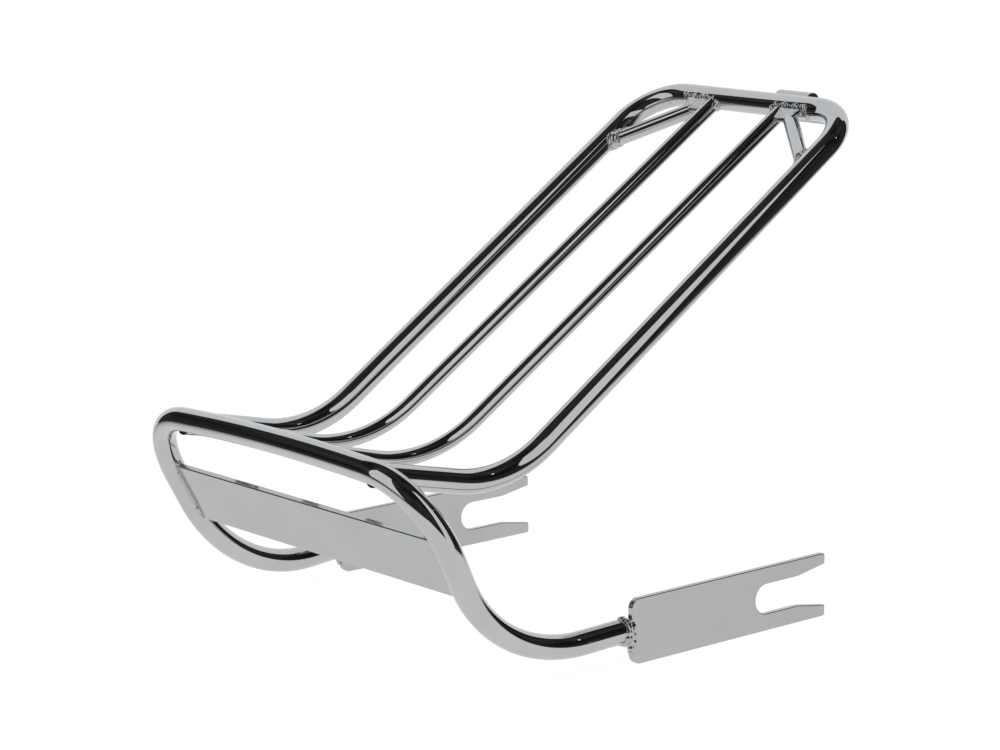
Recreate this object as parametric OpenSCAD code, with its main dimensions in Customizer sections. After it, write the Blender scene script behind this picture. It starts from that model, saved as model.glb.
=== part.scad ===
// Fender luggage rack for a motorcycle, welded from bent steel rod and flat bar.
// It stands on its two slotted side plates, with the load deck rising to the front.
// Millimetres. X runs across the rack, Y from the rear hoop to the front tab, Z is up.
// X = 0 is the plane of symmetry and Z = 0 is under the side plates.

/* [Rod stock] */
// Diameter of the rod of the rear hoop and of the deck's outer frame
frame_rod_d = 12; // [10:0.5:14]
// Diameter of the rod of the two inner rails and the corner braces
inner_rod_d = 8; // [6:0.5:9]
// Fit-up gap between a coped rod end and the rod it is welded to
weld_gap = 0.05; // [0.02:0.01:0.2]

/* [Deck] */
// Distance between the centres of the two outer rails
deck_width = 152.4; // [130:0.1:176]
// Distance between the centres of the two inner rails
inner_spacing = 50.8; // [40:0.1:64]
// Rise of the deck above the horizontal, in degrees
deck_angle = 33.4; // [26:0.1:40]
// Straight length of the deck from the valley bend's corner to the end bar's centre
deck_length = 280.1; // [230:0.1:340]
// Outer rails: distance from the hoop bar forward to the valley bend's corner
valley_run = 77.8; // [66:0.1:92]
// Outer rails: depth of the valley bend's corner below the hoop bar's ends
valley_drop = 19.4; // [12:0.1:26]
// Outer rails: how far their ends sit below the hoop bar's centre
rail_end_drop = 1.9; // [1.5:0.1:3]
// Outer rails: centreline radius of the valley bend
valley_bend_r = 69; // [50:1:85]
// Centreline radius of the two front corners of the outer frame
front_corner_r = 27.2; // [22:0.1:38]
// Inner rails: distance from the hoop bar forward to the valley bend's corner
inner_valley_run = 72.6; // [64:0.1:84]
// Inner rails: depth of the valley bend's corner below the hoop bar's ends
inner_valley_drop = 18; // [12:0.1:24]
// Inner rails: centreline radius of the valley bend
inner_bend_r = 77.8; // [60:0.1:90]

/* [Corner braces] */
// Distance from the end bar's centre back along the rail to the brace's end
brace_run = 45.4; // [40:0.1:70]
// How far the braces lie below the deck's centre plane
brace_drop = 0.8; // [0.8:0.1:1.8]

/* [Rear hoop] */
// Height of the hoop bar's centre above the underside of the side plates
hoop_height = 107.2; // [96:0.1:130]
// Distance between the corners where the hoop bar's and the legs' centrelines meet
hoop_width = 226.7; // [216:0.1:240]
// Lean of the hoop's plane from the vertical, top to the rear, in degrees
hoop_lean = 26.2; // [20:0.1:32]
// Centreline radius of the hoop's two top corners
hoop_corner_r = 37.7; // [30:0.1:42]
// How far the middle of the hoop bar stands above its ends
bar_crown = 2.2; // [1:0.1:4]
// Inward slope of each leg from top to bottom, in degrees
leg_taper = 4.6; // [3:0.1:7]
// Height of the corner of the foot bend above the underside of the side plates
foot_height = 11.7; // [9:0.1:15]
// Centreline radius of the two foot bends
foot_bend_r = 74.3; // [60:0.1:78]

/* [Cross plate] */
// Distance from the hoop bar's centre down the legs to the cross plate's top edge
cross_plate_top = 33; // [26:0.5:38]
// Width of the flat bar of the cross plate, measured down the legs
cross_plate_w = 32.5; // [24:0.5:36]
// Thickness of the flat bar of the cross plate
cross_plate_t = 3.2; // [2.5:0.1:5]

/* [Side plates] */
// Distance between the middle planes of the two side plates
plate_spacing = 228.8; // [216:0.1:244]
// Distance from the hoop bar's centre forward to the plates' rear edges
plate_start = 121.5; // [112:0.5:140]
// How far the feet's centrelines end inside the side plates' middle planes
foot_inset = 3.9; // [0:0.1:4.4]
// Length of a side plate
plate_l = 128.2; // [112:0.1:160]
// Height of a side plate
plate_h = 32.1; // [28:0.1:38]
// Thickness of a side plate
plate_t = 3.2; // [2.5:0.1:5]
// Radius of a side plate's two rear corners
plate_rear_r = 5; // [2:0.1:8]
// Radius of the tips of a side plate's two prongs
plate_tip_r = 1.4; // [0.6:0.1:2.4]
// Width of the adjusting slot
slot_w = 15; // [12:0.1:18]
// Depth of the slot, from the prong tips to its round end
slot_depth = 47.4; // [36:0.1:60]
// Length of the flared mouth of the slot
mouth_l = 18.6; // [12:0.1:24]
// Width of the flared mouth at the prong tips
mouth_w = 21.2; // [19:0.1:23]

/* [Front tab] */
// Width of the tab's flat bar
tab_w = 24; // [16:0.5:32]
// Thickness of the tab's flat bar
tab_t = 3.2; // [2.5:0.1:4]
// Distance of the tab's centre to the right of the rack's centre
tab_x = 21.5; // [0:0.5:40]
// Distance from the end bar's centre forward to the outer face of the tab's flange
tab_reach = 15; // [12:0.1:20]
// Depth of the flange below the deck's centre plane
tab_drop = 21.1; // [18:0.1:28]
// Inner radius of the tab's bend
tab_bend_r = 1.5; // [1:0.1:2.5]
// Radius of the flange's two lower corners
tab_corner_r = 2; // [1:0.1:4]
// Diameter of the bolt hole in the flange
tab_hole_d = 8.5; // [6:0.1:9]
// Distance of the bolt hole's centre from the flange's lower edge
tab_hole_edge = 9.6; // [8:0.1:10]

/* [Weld beads] */
// How far a bead reaches out along the heavier rod of a joint
bead_reach = 3; // [2.6:0.1:3.5]
// How far a bead stands out around the lighter rod of a joint
bead_thick = 2.3; // [1.6:0.1:2.5]
// Length of the bead that runs out over a side plate's outer face
plate_bead_l = 7.5; // [5:0.1:10]
// Radius of the bead along the cross plate's ends
strip_bead_r = 2.6; // [2:0.1:3]

/* [Shown] */
// The piece to build

/* [Hidden] */
$fn = 72;
round_steps = 72;
arc_steps = 6;
eps = 0.01;
cut = 1;
// A straight stretch runs this far into a bend, where the rod is slightly swollen
seat = 0.8;
bend_swell = 0.05;
steel = [0.74, 0.76, 0.79];
weld_grey = [0.62, 0.63, 0.64];

// Half sizes that mating pieces share
frame_r = frame_rod_d / 2;
inner_r = inner_rod_d / 2;
rail_x = deck_width / 2;
inner_x = inner_spacing / 2;
plate_x = plate_spacing / 2;

// Arch of the hoop bar: its half angle and its radius, between the two top corners
hoop_x = hoop_width / 2;
arch_half = hoop_x - hoop_corner_r * tan((90 + leg_taper) / 2);
arch_a = 2 * atan(bar_crown / arch_half);
arch_r = arch_half / sin(arch_a);
arch_peak = arch_half * tan(arch_a);
arch_end = -(hoop_x - arch_half) * tan(arch_a);

// Height of the hoop bar's centreline above its ends, measured in the hoop's plane
function arch_at(x) =
    x < arch_half ? sqrt(arch_r * arch_r - x * x) - arch_r * cos(arch_a)
                  : -(x - arch_half) * tan(arch_a);

// A point of the hoop's leaning plane: across, and down from the bar's ends
function in_hoop(across, down) =
    [across, down * sin(hoop_lean), hoop_height - down * cos(hoop_lean)];

// Hoop centreline corners, from the middle of the bar down the right leg
leg_down = (hoop_height - foot_height) / cos(hoop_lean);
foot_x = hoop_x - (leg_down + arch_end) * tan(leg_taper);
plate_mid_z = plate_h / 2;
foot = [foot_x, leg_down * sin(hoop_lean), foot_height];
foot_end = [plate_x - foot_inset, plate_start, plate_mid_z];

// Side profile of the outer frame and the inner rails
rail_down = rail_end_drop / cos(hoop_lean) - arch_at(rail_x);
rail_start = in_hoop(rail_x, rail_down);
valley = [rail_x, valley_run, hoop_height - valley_drop];
end_y = valley_run + deck_length * cos(deck_angle);
end_z = hoop_height - valley_drop + deck_length * sin(deck_angle);
inner_start = in_hoop(inner_x, -arch_at(inner_x));
inner_valley = [inner_x, inner_valley_run, hoop_height - inner_valley_drop];

// Front to back middle of the rack, so that Y = 0 is half way along it
rear_y = -bar_crown * sin(hoop_lean) - frame_r;
front_y = end_y + tab_reach * cos(deck_angle) + tab_drop * sin(deck_angle);
middle_y = (rear_y + front_y) / 2;

// A point of the deck's plane: across, back from the end bar's centre, and above the plane
function on_deck(across, back, above) =
    [
        across,
        end_y - back * cos(deck_angle) - above * sin(deck_angle),
        end_z - back * sin(deck_angle) + above * cos(deck_angle)
    ];

function unit(v) = v / norm(v);
function turn(p, i) = acos(unit(p[i] - p[i - 1]) * unit(p[i + 1] - p[i]));
function setback(p, r, i) =
    i == 0 || i == len(p) - 1 ? 0 : r[i - 1] * tan(turn(p, i) / 2);

// A straight round bar from a to b
module bar(a, b, r) {
    d = unit(b - a);
    translate(a)
        rotate([0, acos(d[2]), atan2(d[1], d[0])])
            cylinder(h = norm(b - a), r = r);
}

// The bend at corner i of a centreline p, with bend radii br
module bend(p, br, i, r) {
    d1 = unit(p[i] - p[i - 1]);
    d2 = unit(p[i + 1] - p[i]);
    side = unit(d2 - d1 * (d1 * d2));
    axis = cross(-side, d1);
    c = p[i] - d1 * setback(p, br, i) + side * br[i - 1];
    multmatrix([
        [-side[0], d1[0], axis[0], c[0]],
        [-side[1], d1[1], axis[1], c[1]],
        [-side[2], d1[2], axis[2], c[2]],
        [0, 0, 0, 1]
    ])
        rotate_extrude(angle = turn(p, i), $fn = max($fn, arc_steps * 360 / turn(p, i)))
            translate([br[i - 1], 0])
                circle(r = r + bend_swell, $fn = round_steps);
}

// A rod of radius r bent along the centreline p, with the bend radii br
module bent_rod(p, br, r) {
    for (i = [0 : len(p) - 2]) {
        d = unit(p[i + 1] - p[i]);
        from = i == 0 ? 0 : setback(p, br, i) - seat;
        to = i == len(p) - 2 ? 0 : setback(p, br, i + 1) - seat;
        bar(p[i] + d * from, p[i + 1] - d * to, r);
    }
    for (i = [1 : len(p) - 2]) {
        bend(p, br, i, r);
    }
}

// The whole hoop: left foot, left leg, arched bar, right leg, right foot.
// Its ends are sawn square to the rack, to butt on the side plates' rear edges.
module hoop_rod(r) {
    corner = in_hoop(hoop_x, -arch_end);
    peak = in_hoop(0, -arch_peak);
    past = foot_end + unit(foot_end - foot) * r / 2;
    flip = [[-1, 0, 0], [0, 1, 0], [0, 0, 1]];
    difference() {
        bent_rod(
            [flip * past, flip * foot, flip * corner, peak, corner, foot, past],
            [foot_bend_r, hoop_corner_r, arch_r, hoop_corner_r, foot_bend_r],
            r
        );
        translate([-plate_x - 2 * r, plate_start - weld_gap, plate_mid_z - 2 * r])
            cube([plate_spacing + 4 * r, 4 * r, 4 * r]);
    }
}

// The deck's outer frame: up the left rail, across the end bar, down the right rail
module deck_rod(r) {
    corner = on_deck(rail_x, 0, 0);
    flip = [[-1, 0, 0], [0, 1, 0], [0, 0, 1]];
    bent_rod(
        [flip * rail_start, flip * valley, flip * corner, corner, valley, rail_start],
        [valley_bend_r, front_corner_r, front_corner_r, valley_bend_r],
        r
    );
}

// The right inner rail
module inner_rod(r) {
    bent_rod([inner_start, inner_valley, on_deck(inner_x, 0, 0)], [inner_bend_r], r);
}

// The straight part of the end bar around the right inner rail
module end_bar(r) {
    bar(on_deck(0, 0, 0), on_deck(rail_x - front_corner_r, 0, 0), r);
}

// The right corner brace
module brace_rod(r) {
    bar(on_deck(inner_x, 0, -brace_drop), on_deck(rail_x, brace_run, -brace_drop), r);
}

// The straight part of the right outer rail around the brace's end
module brace_rail(r) {
    bar(
        on_deck(rail_x, brace_run - frame_rod_d - bead_reach, 0),
        on_deck(rail_x, brace_run + frame_rod_d + bead_reach, 0),
        r
    );
}

// The hoop bar between its two top corners
module arch_bar(r) {
    bent_rod(
        [in_hoop(-hoop_x, -arch_end), in_hoop(0, -arch_peak), in_hoop(hoop_x, -arch_end)],
        [arch_r],
        r
    );
}

module rear_hoop() {
    color(steel) hoop_rod(frame_r);
}

module deck_frame() {
    color(steel)
        difference() {
            deck_rod(frame_r);
            hoop_rod(frame_r + weld_gap);
        }
}

module inner_rail() {
    color(steel)
        difference() {
            inner_rod(inner_r);
            arch_bar(frame_r + weld_gap);
            end_bar(frame_r + weld_gap);
        }
}

module brace() {
    color(steel)
        difference() {
            brace_rod(inner_r);
            end_bar(frame_r + weld_gap);
            brace_rail(frame_r + weld_gap);
            inner_rod(inner_r + weld_gap);
        }
}

// Flat bar cut to fit between the legs, in the hoop's plane
module cross_plate() {
    top_x = hoop_x - (cross_plate_top + arch_end) * tan(leg_taper);
    low = cross_plate_top + cross_plate_w;
    low_x = hoop_x - (low + arch_end) * tan(leg_taper);
    color(steel)
        difference() {
            translate(in_hoop(0, 0))
                rotate([90 + hoop_lean, 0, 0])
                    translate([0, 0, -cross_plate_t / 2])
                        linear_extrude(cross_plate_t)
                            polygon([
                                [-top_x, -cross_plate_top], [top_x, -cross_plate_top],
                                [low_x, -low], [-low_x, -low]
                            ]);
            hoop_rod(frame_r + weld_gap);
        }
}

// A rectangle from the origin, with the radii of its near and far corners
module rounded_bar(l, h, near_r, far_r) {
    translate([near_r, 0]) square([l - near_r - far_r, h]);
    translate([0, near_r]) square([near_r, h - 2 * near_r]);
    translate([l - far_r, far_r]) square([far_r, h - 2 * far_r]);
    for (z = [near_r, h - near_r]) {
        translate([near_r, z]) circle(r = near_r);
    }
    for (z = [far_r, h - far_r]) {
        translate([l - far_r, z]) circle(r = far_r);
    }
}

// Outline of a side plate: its slot opens forward and flares at the prong tips
module plate_outline() {
    slot_r = slot_w / 2;
    slot_y = plate_l - slot_depth + slot_r;
    difference() {
        rounded_bar(plate_l, plate_h, plate_rear_r, plate_tip_r);
        translate([slot_y, plate_mid_z]) circle(r = slot_r);
        translate([slot_y, plate_mid_z - slot_r]) square([slot_depth, slot_w]);
        polygon([
            [plate_l - mouth_l, plate_mid_z - slot_r],
            [plate_l + eps, plate_mid_z - mouth_w / 2],
            [plate_l + eps, plate_mid_z + mouth_w / 2],
            [plate_l - mouth_l, plate_mid_z + slot_r]
        ]);
    }
}

module side_plate() {
    color(steel)
        translate([plate_x - plate_t / 2, plate_start, 0])
            rotate([90, 0, 90])
                linear_extrude(plate_t) plate_outline();
}

// Side section of the tab: a flat bar in the deck's plane with a flange bent down
module tab_section() {
    outer_r = tab_bend_r + tab_t;
    difference() {
        union() {
            translate([0, -tab_t]) square([tab_reach - outer_r, tab_t]);
            translate([tab_reach - tab_t, -tab_drop]) square([tab_t, tab_drop - outer_r]);
            translate([tab_reach - outer_r, -outer_r])
                intersection() {
                    circle(r = outer_r);
                    square(outer_r);
                }
        }
        translate([tab_reach - outer_r, -outer_r]) circle(r = tab_bend_r);
    }
}

// The lower corners of the flange, seen from the front
module tab_face() {
    translate([-tab_w / 2, -tab_drop + tab_corner_r]) square([tab_w, tab_drop]);
    translate([-tab_w / 2 + tab_corner_r, -tab_drop])
        square([tab_w - 2 * tab_corner_r, tab_drop]);
    for (x = [-tab_w / 2 + tab_corner_r, tab_w / 2 - tab_corner_r]) {
        translate([x, -tab_drop + tab_corner_r]) circle(r = tab_corner_r);
    }
}

// Puts a piece drawn at the origin on the end bar's centre, in the deck's plane
module at_end_bar() {
    translate([0, end_y, end_z]) rotate([deck_angle, 0, 0]) children();
}

module front_tab() {
    color(steel)
        difference() {
            at_end_bar()
                translate([tab_x, 0, 0])
                    difference() {
                        intersection() {
                            rotate([90, 0, 90])
                                translate([0, 0, -tab_w / 2])
                                    linear_extrude(tab_w) tab_section();
                            rotate([90, 0, 0])
                                translate([0, 0, -tab_reach - cut])
                                    linear_extrude(tab_reach + 2 * cut) tab_face();
                        }
                        translate([0, tab_reach + cut, -tab_drop + tab_hole_edge])
                            rotate([90, 0, 0])
                                cylinder(h = tab_t + 2 * cut, d = tab_hole_d);
                    }
            tab_bar(frame_r + weld_gap);
        }
}

// The part of the end bar behind the tab
module tab_bar(r) {
    reach = tab_w / 2 + 2 * bead_reach;
    bar(on_deck(tab_x - reach, 0, 0), on_deck(tab_x + reach, 0, 0), r);
}

// Bead where the right outer rail meets the hoop
module weld_rail_hoop() {
    color(weld_grey)
        difference() {
            intersection() {
                hoop_rod(frame_r + bead_reach);
                bar(rail_start, valley, frame_r + bead_thick);
            }
            hoop_rod(frame_r);
            deck_rod(frame_r);
        }
}

// Bead where the right inner rail meets the hoop bar
module weld_inner_hoop() {
    color(weld_grey)
        difference() {
            intersection() {
                arch_bar(frame_r + bead_reach);
                bar(inner_start, inner_valley, inner_r + bead_thick);
            }
            arch_bar(frame_r);
            inner_rod(inner_r);
        }
}

// Bead where the right inner rail and the brace meet the end bar
module weld_front() {
    color(weld_grey)
        difference() {
            intersection() {
                end_bar(frame_r + bead_reach);
                at_end_bar()
                    translate([0, -2 * frame_r, -2 * frame_r])
                        cube([rail_x, 2 * frame_r, 4 * frame_r]);
                union() {
                    inner_rod(inner_r + bead_thick);
                    brace_rod(inner_r + bead_thick);
                }
            }
            end_bar(frame_r);
            inner_rod(inner_r);
            brace_rod(inner_r);
        }
}

// Bead where the right brace meets the outer rail
module weld_brace_rail() {
    color(weld_grey)
        difference() {
            intersection() {
                brace_rail(frame_r + bead_reach);
                brace_rod(inner_r + bead_thick);
            }
            brace_rail(frame_r);
            brace_rod(inner_r);
        }
}

// Beads along the right end of the cross plate, on both of its faces
module weld_cross_plate() {
    top = cross_plate_top;
    low = cross_plate_top + cross_plate_w;
    inset = frame_r / cos(leg_taper);
    top_x = hoop_x - (top + arch_end) * tan(leg_taper) - inset;
    low_x = hoop_x - (low + arch_end) * tan(leg_taper) - inset;
    toward = [0, -cos(hoop_lean), -sin(hoop_lean)] * cross_plate_t / 2;
    color(weld_grey)
        difference() {
            for (face = [-1, 1]) {
                a = in_hoop(top_x, top) + toward * face;
                b = in_hoop(low_x, low) + toward * face;
                bar(a, b, strip_bead_r);
            }
            cross_plate();
            hoop_rod(frame_r);
        }
}

// Bead around the outside of the hoop's foot and out over the side plate's outer face.
// The inner face stays bare, because it lies flat against what the rack is bolted to.
module weld_side_plate() {
    way = unit(foot_end - foot);
    tilt = acos(way[2]);
    wide = frame_r + bead_thick / 2;
    color(weld_grey)
        difference() {
            translate(foot_end + [foot_inset / 2, 0, 0])
                rotate([0, tilt, atan2(way[1], way[0])])
                    rotate_extrude()
                        polygon([
                            [0, -bead_reach], [frame_r + eps, -bead_reach],
                            [wide, 0], [wide - bead_thick / 2, bead_reach],
                            [inner_r, plate_bead_l], [0, plate_bead_l]
                        ]);
            hoop_rod(frame_r);
            side_plate();
            translate([0, plate_start, 0]) cube([plate_x, plate_l, plate_h]);
        }
}

// Bead along the tab's top face and underside, where they meet the end bar
module weld_tab() {
    color(weld_grey)
        difference() {
            intersection() {
                tab_bar(frame_r + bead_reach);
                at_end_bar()
                    translate([tab_x - tab_w / 2, 0, -tab_t - bead_thick])
                        cube([tab_w, tab_reach, tab_t + 2 * bead_thick]);
            }
            tab_bar(frame_r);
            front_tab();
        }
}

// Moves the finished piece so that Y = 0 is at the middle of the rack
module placed() {
    translate([0, -middle_y, 0]) children();
}

module mirrored() {
    mirror([1, 0, 0]) children();
}

placed() rear_hoop();
placed() deck_frame();
placed() mirrored() inner_rail();  // inner_rail_left
placed() inner_rail();  // inner_rail_right
placed() mirrored() brace();  // brace_left
placed() brace();  // brace_right
placed() cross_plate();
placed() mirrored() side_plate();  // side_plate_left
placed() side_plate();  // side_plate_right
placed() front_tab();
placed() mirrored() weld_rail_hoop();  // weld_rail_hoop_left
placed() weld_rail_hoop();  // weld_rail_hoop_right
placed() mirrored() weld_inner_hoop();  // weld_inner_hoop_left
placed() weld_inner_hoop();  // weld_inner_hoop_right
placed() mirrored() weld_front();  // weld_front_left
placed() weld_front();  // weld_front_right
placed() mirrored() weld_brace_rail();  // weld_brace_rail_left
placed() weld_brace_rail();  // weld_brace_rail_right
placed() mirrored() weld_cross_plate();  // weld_cross_plate_left
placed() weld_cross_plate();  // weld_cross_plate_right
placed() mirrored() weld_side_plate();  // weld_side_plate_left
placed() weld_side_plate();  // weld_side_plate_right
placed() weld_tab();
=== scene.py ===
import math

import bmesh
import bpy
from bpy.props import FloatProperty, FloatVectorProperty, IntProperty, PointerProperty
from mathutils import Matrix, Vector


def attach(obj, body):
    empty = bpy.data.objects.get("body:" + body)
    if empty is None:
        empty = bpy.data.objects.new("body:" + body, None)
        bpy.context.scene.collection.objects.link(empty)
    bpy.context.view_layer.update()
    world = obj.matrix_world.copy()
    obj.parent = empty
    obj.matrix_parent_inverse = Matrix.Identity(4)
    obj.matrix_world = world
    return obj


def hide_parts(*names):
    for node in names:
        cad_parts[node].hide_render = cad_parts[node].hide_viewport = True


bl_info = {
    "name": "Fender luggage rack",
    "version": (1, 0, 0),
    "blender": (4, 5, 0),
    "location": "View3D > Sidebar > Rack",
    "description": "Builds a chromed fender luggage rack of bent rod and flat bar, piece by piece",
    "category": "Add Mesh",
}

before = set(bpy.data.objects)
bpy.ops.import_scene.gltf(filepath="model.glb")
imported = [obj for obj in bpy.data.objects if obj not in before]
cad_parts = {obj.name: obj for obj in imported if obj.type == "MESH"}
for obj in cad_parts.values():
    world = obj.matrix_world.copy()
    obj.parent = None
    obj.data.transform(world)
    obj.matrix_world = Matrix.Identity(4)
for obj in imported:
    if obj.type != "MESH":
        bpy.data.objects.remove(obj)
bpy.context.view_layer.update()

MM = 0.001
FLIP = Matrix.Diagonal((-1.0, 1.0, 1.0))  # the left side is the right side mirrored
EAST = Vector((1, 0, 0))
BEND_POINTS = 40  # points along each bend of a rod


def length(name, words, default, low=0.0):
    """A size in metres, from a default in millimetres."""
    return FloatProperty(name=name, description=words, default=default * MM, min=low, unit="LENGTH", precision=5)


def degrees(name, words, default):
    """An angle, from a default in degrees."""
    return FloatProperty(name=name, description=words, default=math.radians(default), unit="ROTATION")


def share(name, words, default):
    """A number from 0 to 1."""
    return FloatProperty(name=name, description=words, default=default, min=0, max=1)


def tint(name, words, default):
    """A colour."""
    return FloatVectorProperty(
        name=name, description=words, default=default, subtype="COLOR", size=3, min=0, max=1)


# ---- What a user can change ------------------------------------------------


class RackSizes(bpy.types.PropertyGroup):
    """Sizes of the rack's rods, flat bars and plates"""

    frame_rod: length("Frame rod", "Diameter of the rod of the hoop and the outer frame", 12)
    inner_rod: length("Inner rod", "Diameter of the rod of the inner rails and braces", 8)
    deck_width: length("Deck width", "Distance between the outer rails' centres", 152.4)
    inner_spacing: length("Inner spacing", "Distance between the inner rails' centres", 50.8)
    deck_angle: degrees("Deck angle", "Rise of the deck above the horizontal", 33.4)
    deck_length: length("Deck length", "From the valley bend's corner to the end bar", 280.1)
    valley_run: length("Valley run", "Outer rails: hoop bar to the valley bend's corner", 77.8)
    valley_drop: length("Valley drop", "Outer rails: depth of the valley bend's corner", 19.4)
    rail_end_drop: length("Rail end drop", "How far the outer rails' ends sit below the hoop bar's centre", 1.9)
    valley_bend: length("Valley bend", "Outer rails: radius of the valley bend", 69)
    front_bend: length("Front corners", "Radius of the outer frame's front corners", 27.2)
    inner_run: length("Inner valley run", "Inner rails: hoop bar to the valley bend's corner", 72.6)
    inner_drop: length("Inner valley drop", "Inner rails: depth of the valley bend's corner", 18)
    inner_bend: length("Inner bend", "Inner rails: radius of the valley bend", 77.8)
    brace_run: length("Brace run", "From the end bar back along the rail to the brace's end", 45.4)
    brace_drop: length("Brace drop", "How far the braces lie below the deck's plane", 0.8)
    hoop_height: length("Hoop height", "Height of the hoop bar above the plates' underside", 107.2)
    hoop_width: length("Hoop width", "Distance between the hoop's top corners", 226.7)
    hoop_lean: degrees("Hoop lean", "Lean of the hoop's plane from the vertical", 26.2)
    hoop_bend: length("Hoop corners", "Radius of the hoop's top corners", 37.7)
    crown: length("Bar crown", "How far the middle of the hoop bar stands above its ends", 2.2)
    leg_taper: degrees("Leg taper", "Inward slope of the legs", 4.6)
    foot_height: length("Foot height", "Height of the foot bend's corner", 11.7)
    foot_bend: length("Foot bend", "Radius of the foot bends", 74.3)
    strip_top: length("Cross plate top", "From the hoop bar down the legs to the cross plate", 33)
    strip_width: length("Cross plate width", "Width of the cross plate's flat bar", 32.5)
    strip_thick: length("Cross plate thickness", "Thickness of the cross plate", 3.2)
    plate_spacing: length("Plate spacing", "Distance between the side plates' middle planes", 228.8)
    plate_start: length("Plate start", "From the hoop bar forward to the plates", 121.5)
    foot_inset: length("Foot inset", "How far the feet end inside the plates' middle planes", 3.9)
    plate_length: length("Plate length", "Length of a side plate", 128.2)
    plate_height: length("Plate height", "Height of a side plate", 32.1)
    plate_thick: length("Plate thickness", "Thickness of a side plate", 3.2)
    plate_rear: length("Plate corners", "Radius of a side plate's rear corners", 5)
    plate_tip: length("Prong tips", "Radius of the prongs' outer corners", 1.4)
    slot_width: length("Slot width", "Width of the slot", 15)
    slot_depth: length("Slot depth", "From the prong tips to the slot's round end", 47.4)
    mouth_length: length("Mouth length", "Length of the slot's flared mouth", 18.6)
    mouth_width: length("Mouth width", "Width of the slot's mouth at the tips", 21.2)
    tab_width: length("Tab width", "Width of the front tab", 24)
    tab_thick: length("Tab thickness", "Thickness of the front tab", 3.2)
    tab_x: length("Tab offset", "Distance of the tab to the right of the middle", 21.5)
    tab_reach: length("Tab reach", "From the end bar's centre to the flange's outer face", 15)
    tab_drop: length("Tab drop", "Depth of the flange below the deck's plane", 21.1)
    tab_bend: length("Tab bend", "Inner radius of the tab's bend", 1.5)
    tab_hole: length("Tab hole", "Diameter of the bolt hole", 8.5)
    tab_hole_edge: length("Hole to edge", "From the hole's centre to the flange's lower edge", 9.6)
    ring_step: length("Ring step", "Distance between the rings of faces along a rod", 2.5)
    rod_sides: IntProperty(name="Rod sides", description="Faces around a rod", default=48, min=12, max=128)
    edge_round: length("Edge rounding", "Rounding of the flat bars' edges", 0.45)


class RackWelds(bpy.types.PropertyGroup):
    """Sizes of the weld beads"""

    blob: length("Puddle radius", "Radius of one weld puddle", 1.9)
    pitch: length("Puddle pitch", "Distance from puddle to puddle along a bead", 1.7)
    uneven: share("Unevenness", "How much the puddles differ", 0.3)
    grain: length("Mesh grain", "Size of the faces of a finished bead", 0.34)
    seed: IntProperty(name="Seed", description="Picks the pattern of the puddles", default=7)


class RackFinish(bpy.types.PropertyGroup):
    """Colours and roughness of the chrome"""

    chrome: tint("Chrome", "Colour of the plated rods", (0.55, 0.555, 0.565))
    flat_chrome: tint("Flat bar chrome", "Colour of the plated flat bars", (0.5, 0.505, 0.51))
    weld_chrome: tint("Weld chrome", "Colour of the plated weld beads", (0.52, 0.52, 0.525))
    polish: share("Rod roughness", "Roughness of the plated rods", 0.028)
    flat_polish: share("Flat bar roughness", "Roughness of the plated flat bars", 0.1)
    weld_polish: share("Weld roughness", "Roughness of the plated weld beads", 0.07)
    floor: tint("Floor", "Colour of the paper sweep", (0.86, 0.86, 0.85))


# ---- Shared shapes ---------------------------------------------------------


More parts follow.
